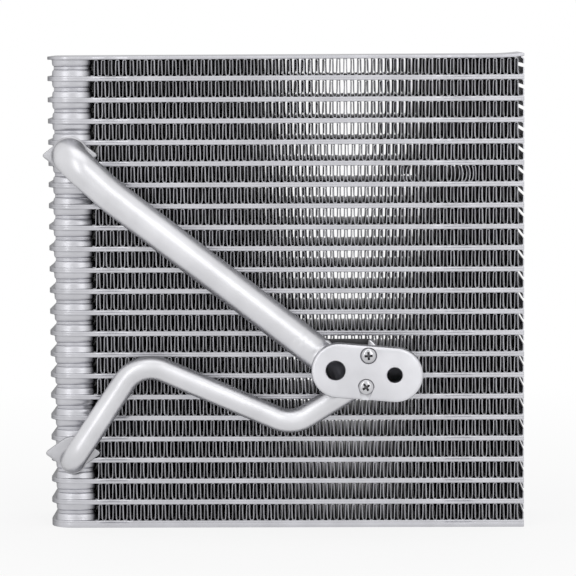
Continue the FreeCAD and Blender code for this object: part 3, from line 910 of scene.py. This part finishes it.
screw = {
    "places": {"upper_screw": (8.6, 8), "lower_screw": (-6.8, 38)},  # level and how far it is turned
    "head": 3.8,
    "height": 2.6,
    # the dome from its rim to its middle, in shares of the head's radius and height
    "dome": ((1, 0.08), (1, 0.40), (0.95, 0.62), (0.82, 0.82), (0.60, 0.95), (0.30, 1.0), (0, 1.0)),
    "rimEdge": 0.15,
    "shank": 2.0,
    "tipEdge": 0.3,
    "length": 11.0,
    "arm": 2.3,
    "half": 0.65,
    "depth": 1.7,
    "taper": 0.5,
    # painted shade in the cross recess
    "shade": 0.85,
}

block = {
    "right": 4.9,
    "top": 15.5,
    "flange": 5.0,
    "web": 10.0,
    "foot": 10.9,
    "chamfer": 3.0,
    "depth": 8.4,
    "wall": 1.4,
    "backWall": 0.5,
    "trough": 3.2,
    "troughSlant": 1.3,
    "topLeft": -20.9,
    "underLeft": -14.4,
    "edge": 0.35,
    # painted shade in the trough
    "shade": 0.88,
}


def onPlate(u=0, v=0, y=0, tilted=True):
    # puts a shape at u along and v across the tilted plate
    middle = toMetres(valve["middle"][0], 0, valve["middle"][1])
    turn = Matrix.Rotation(math.radians(valve["tilt"] if tilted else 0), 4, "Y")
    return Matrix.Translation(middle) @ turn @ Matrix.Translation(toMetres(u, y, v))


def movedPart(part, matrix):
    bmesh.ops.transform(part, matrix=matrix, verts=part.verts)
    return part


def drillPart(u, v, profile, steps, tilted=True):
    # a turned cutter; the profile gives radius and y and is closed on the axis
    ends = [(0, profile[0][1])] + list(profile) + [(0, profile[-1][1])]
    return movedPart(turnedPart(ends, steps), onPlate(u, v, 0, tilted))


def darkenRound(bm, u, v, radius, low, high, amount):
    # paints shade on what lies round a place on the plate, between two levels of y
    home = onPlate(u, v).inverted()

    def inside(place):
        local = home @ place * 1000
        return math.hypot(local.x, local.z) < radius and low < local.y < high

    darken(bm, inside, amount)


def slotPart():
    # round the lower screw's seat and out through the plate's edge
    level = screw["places"]["lower_screw"][0]
    ahead = valve["front"] - past
    mouth = valve["mouth"]
    part = bmesh.new()
    start = part.verts.new(toMetres(valve["seat"], ahead, level))
    arc = spinAbout(part, [start], toMetres(0, ahead, level), (0, -1, 0), math.pi, 28)
    low = -valve["width"] / 2 - 2 * past
    stops = vertsIn(arc)[:1]
    stops += [part.verts.new(toMetres(x, ahead, low)) for x in (-mouth, mouth)]
    for pair in zip(stops, stops[1:] + [start]):
        part.edges.new(pair)
    bmesh.ops.contextual_create(part, geom=part.edges[:])
    pullFaces(part, toMetres(0, past + valve["recess"], 0))
    return movedPart(part, onPlate())


def valveCutters():
    front = valve["front"]
    back = valve["back"]
    edge = valve["portEdge"]
    cutters = [slotPart()]
    for u, bore, socket in valve["ports"]:
        level = back - valve["socket"]
        throat = [
            (bore + edge + valve["lead"], front - past), (bore + edge, front + 0.001),
            (bore, front + edge), (bore, level + past / 2),
        ]
        cutters.append(drillPart(u, 0, throat, 64))
        cutters.append(drillPart(u, 0, [(socket, level), (socket, back + past)], 64))
    seat = valve["seat"]
    wide = seat + valve["seatEdge"]
    recess = [
        (wide, front - past), (wide, front), (seat, front + valve["seatEdge"]),
        (seat, front + valve["recess"]),
    ]
    cutters.append(drillPart(0, screw["places"]["upper_screw"][0], recess, 56))
    hole = screw["shank"] + valve["holePlay"]
    for v, turned in screw["places"].values():
        cutters.append(drillPart(0, v, [(hole, front - past), (hole, back + past)], 32))
    return cutters


def makeValvePlate():
    front = valve["front"]
    back = valve["back"]
    upright = Matrix.Rotation(math.pi / 2, 4, "X")
    part = bmesh.new()
    bmesh.ops.create_grid(part, x_segments=1, y_segments=1, size=1, matrix=upright)
    bmesh.ops.scale(part, vec=toMetres(valve["length"] / 2, 1, valve["width"] / 2), verts=part.verts)
    roundCorners(part, part.verts[:], valve["width"] / 2 - 0.001, 24)
    bmesh.ops.remove_doubles(part, verts=part.verts, dist=mm(near))
    bmesh.ops.translate(part, verts=part.verts, vec=toMetres(0, back, 0))
    pullFaces(part, toMetres(0, front - back, 0))
    rims = [edge for edge in rimEdges(part, 1) if edge.verts[0].co.y < mm(front + near)]
    softenEdges(part, rims, valve["rim"], 6)
    bm = cutAway(movedPart(part, onPlate()), valveCutters())
    # painted shade in the ports' bores
    for u, bore, socket in valve["ports"]:
        darkenRound(bm, u, 0, bore + margin, front + past, back + past, valve["shade"])
    home = onPlate().inverted()

    # painted highlight on the rim's bevel, round the face
    def onRim(place):
        local = home @ place * 1000
        straight = max(abs(local.x) - (valve["length"] - valve["width"]) / 2, 0)
        outward = math.hypot(straight, local.z) > valve["width"] / 2 - valve["rim"] - margin
        return outward and front + margin / 2 < local.y < front + 1.1 * valve["rim"]

    darken(bm, onRim, valve["rimPaintedShading"])
    # painted shade on the floors of the screws' seats, along their walls
    floor = front + valve["recess"]
    for v, turned in screw["places"].values():
        reach = valve["seat"] + margin
        darkenRound(bm, 0, v, reach, floor - margin / 2, floor + margin / 2, valve["seatShade"])
    addPiece("valve_plate_body", bm, "fitting", "valve_plate", smooth=32)


def makeScrew(node, v, turned):
    seat = valve["front"] + valve["recess"]
    end = seat + screw["length"]
    radius = screw["head"]
    shank = screw["shank"]
    bevel = screw["tipEdge"]
    profile = [(0, end), (shank - bevel, end), (shank, end - bevel), (shank, seat)]
    profile += [(radius - screw["rimEdge"], seat)]
    profile += [(radius * out, seat - screw["height"] * forward) for out, forward in screw["dome"]]
    cutters = []
    top = seat - screw["height"]
    deep = top + screw["depth"]
    arm = screw["arm"]
    half = screw["half"]
    for quarter in (0, 90):
        bar = barPart((-arm, top - past / 2, -half), (arm, deep, half))
        inner = [vert for vert in bar.verts if vert.co.y > mm(deep - near)]
        bmesh.ops.scale(bar, vec=(screw["taper"], 1, screw["taper"]), verts=inner)
        turn = Matrix.Rotation(math.radians(quarter - turned), 4, "Y")
        cutters.append(movedPart(bar, onPlate(0, v) @ turn))
    bm = cutAway(movedPart(turnedPart(profile, 48), onPlate(0, v)), cutters)
    # painted shade in the cross recess
    darkenRound(bm, 0, v, arm, top + past / 2, seat, screw["shade"])
    addPiece(node + "_pan", bm, "screw", node, smooth=32)


def makeBlock():
    right = block["right"]
    top = block["top"]
    under = top - block["flange"]
    front = valve["back"]
    back = front + block["depth"]
    corners = [
        (block["underLeft"], under), (right - block["web"], under),
        (right - block["web"], -block["foot"]), (right, -block["foot"]),
        (right, top - block["chamfer"]), (right - block["chamfer"], top), (block["topLeft"], top),
    ]
    part = bmesh.new()
    part.faces.new([part.verts.new(toMetres(x, front, z)) for x, z in corners])
    pullFaces(part, toMetres(0, block["depth"], 0))
    softenEdges(part, part.edges[:], block["edge"], 2)
    floor = top - block["trough"]
    left = block["topLeft"] + block["wall"]
    end = right - block["chamfer"] - block["wall"]
    wall = back - block["backWall"]
    trough = barPart((left, front - past, floor), (end, wall, top + past))
    for vert in trough.verts:
        if vert.co.x < mm(left + near) and vert.co.z < mm(floor + near):
            vert.co.x += mm(block["trough"] * block["troughSlant"])
    cutters = [movedPart(trough, onPlate(tilted=False))]
    tilt = math.radians(valve["tilt"])
    hole = [(screw["shank"], front - past), (screw["shank"], back + past)]
    for v, turned in screw["places"].values():
        cutters.append(drillPart(v * math.sin(tilt), v * math.cos(tilt), hole, 32, tilted=False))
    bm = cutAway(movedPart(part, onPlate(tilted=False)), cutters)
    home = onPlate(tilted=False).inverted()

    # painted shade in the trough, where its walls shade it
    def inTrough(place):
        local = home @ place * 1000
        across = left - margin < local.x < end + margin
        return across and local.z > floor - margin and local.y < wall + margin

    darken(bm, inTrough, block["shade"])
    addPiece("clamp_block_body", bm, "fitting", "clamp_block", smooth=30)


makeValvePlate()
for node, (v, turned) in screw["places"].items():
    makeScrew(node, v, turned)
makeBlock()
print("stage: valve plate, screws and block made")


# floor, lights and camera

light = {
    "roomGrey": 0.72,
    "floorGrey": 0.85,
    "floorRough": 0.9,
    "floorReach": 6.0,
    "glow": (0.84, 1.0),  # share of plain white in the floor, near the part and far from it
    "glowFrom": 0.15,
    "glowTo": 0.6,
    "boxes": {
        # place, width, height and power in watts
        "leftBox": ((-734, -1325, 620), 300, 1500, 2.5),
        "rightBox": ((493, -1432, 620), 300, 1500, 2.5),
        "topBox": ((0, -250, 1500), 1100, 1100, 2.5),
    },
    "aim": (0, -30, 140),
}

view = {
    "place": (29.888, -1628.423, 254.68),
    "pitch": -0.0838,
    "yaw": 0.01797,
    "roll": -0.0052,
    "lens": 201.1,
    "sensor": 36,
    "clip": (0.1, 50),
}


def whiteRays(tree):
    # 1 for the rays that show the white background: straight to the camera, mirrored or let through
    path = addNode(tree, "ShaderNodeLightPath")
    total = path.outputs["Is Camera Ray"]
    for name in ("Is Glossy Ray", "Is Transmission Ray"):
        larger = addNode(tree, "ShaderNodeMath", operation="MAXIMUM")
        tree.links.new(total, larger.inputs[0])
        tree.links.new(path.outputs[name], larger.inputs[1])
        total = larger.outputs["Value"]
    return total


def makeFloor():
    bm = bmesh.new()
    bmesh.ops.create_grid(bm, x_segments=1, y_segments=1, size=light["floorReach"])
    mesh = toMesh(bm)
    material, tree, shader = newMaterial("floorPaper")
    grey = light["floorGrey"]
    shader.inputs["Base Color"].default_value = (grey, grey, grey, 1)
    shader.inputs["Roughness"].default_value = light["floorRough"]
    # the paper's own shading keeps the part's shadow near it and fades to white further out
    place = addNode(tree, "ShaderNodeTexCoord")
    away = addNode(tree, "ShaderNodeVectorMath", operation="LENGTH")
    tree.links.new(place.outputs["Object"], away.inputs[0])
    distance = away.outputs["Value"]
    share = mapRange(tree, distance, light["glowFrom"], light["glowTo"], *light["glow"])
    factor = addNode(tree, "ShaderNodeMath", operation="MULTIPLY")
    tree.links.new(whiteRays(tree), factor.inputs[0])
    tree.links.new(share, factor.inputs[1])
    glow = addNode(tree, "ShaderNodeEmission", Color=(1, 1, 1, 1), Strength=1.0)
    mix = addNode(tree, "ShaderNodeMixShader")
    tree.links.new(factor.outputs["Value"], mix.inputs["Fac"])
    tree.links.new(shader.outputs["BSDF"], mix.inputs[1])
    tree.links.new(glow.outputs["Emission"], mix.inputs[2])
    tree.links.new(mix.outputs["Shader"], tree.nodes["Material Output"].inputs["Surface"])
    mesh.materials.append(material)
    floor = bpy.data.objects.new("floor", mesh)
    bpy.context.scene.collection.objects.link(floor)


def makeWorld():
    world = bpy.data.worlds.new("studio")
    bpy.context.scene.world = world
    world.use_nodes = True
    tree = world.node_tree
    room = tree.nodes["Background"]
    grey = light["roomGrey"]
    room.inputs["Color"].default_value = (grey, grey, grey, 1)
    backdrop = addNode(tree, "ShaderNodeBackground", Color=(1, 1, 1, 1), Strength=1.0)
    mix = addNode(tree, "ShaderNodeMixShader")
    tree.links.new(whiteRays(tree), mix.inputs["Fac"])
    tree.links.new(room.outputs["Background"], mix.inputs[1])
    tree.links.new(backdrop.outputs["Background"], mix.inputs[2])
    tree.links.new(mix.outputs["Shader"], tree.nodes["World Output"].inputs["Surface"])


def makeLight(name, place, width, height, power):
    data = bpy.data.lights.new(name, "AREA")
    data.shape = "RECTANGLE"
    data.size = mm(width)
    data.size_y = mm(height)
    data.energy = power
    lamp = bpy.data.objects.new(name, data)
    lamp.location = toMetres(*place)
    aim = toMetres(*light["aim"]) - lamp.location
    lamp.rotation_euler = aim.to_track_quat("-Z", "Y").to_euler()
    bpy.context.scene.collection.objects.link(lamp)


def makeCamera():
    turn = Matrix.Rotation(view["yaw"], 4, "Z") @ Matrix.Rotation(view["pitch"], 4, "X")
    # a camera looks along its own -Z, so it is first tipped up to look along +Y
    turn = turn @ Matrix.Rotation(-view["roll"], 4, "Y") @ Matrix.Rotation(math.pi / 2, 4, "X")
    data = bpy.data.cameras.new("camera")
    data.sensor_width = view["sensor"]
    data.lens = view["lens"]
    data.clip_start, data.clip_end = view["clip"]
    camera = bpy.data.objects.new("camera", data)
    camera.matrix_world = Matrix.Translation(toMetres(*view["place"])) @ turn
    bpy.context.scene.collection.objects.link(camera)
    bpy.context.scene.camera = camera


makeFloor()
makeWorld()
for name, box in light["boxes"].items():
    makeLight(name, *box)
makeCamera()
bpy.context.scene.view_settings.view_transform = "Standard"
print("stage: floor, lights and camera made")
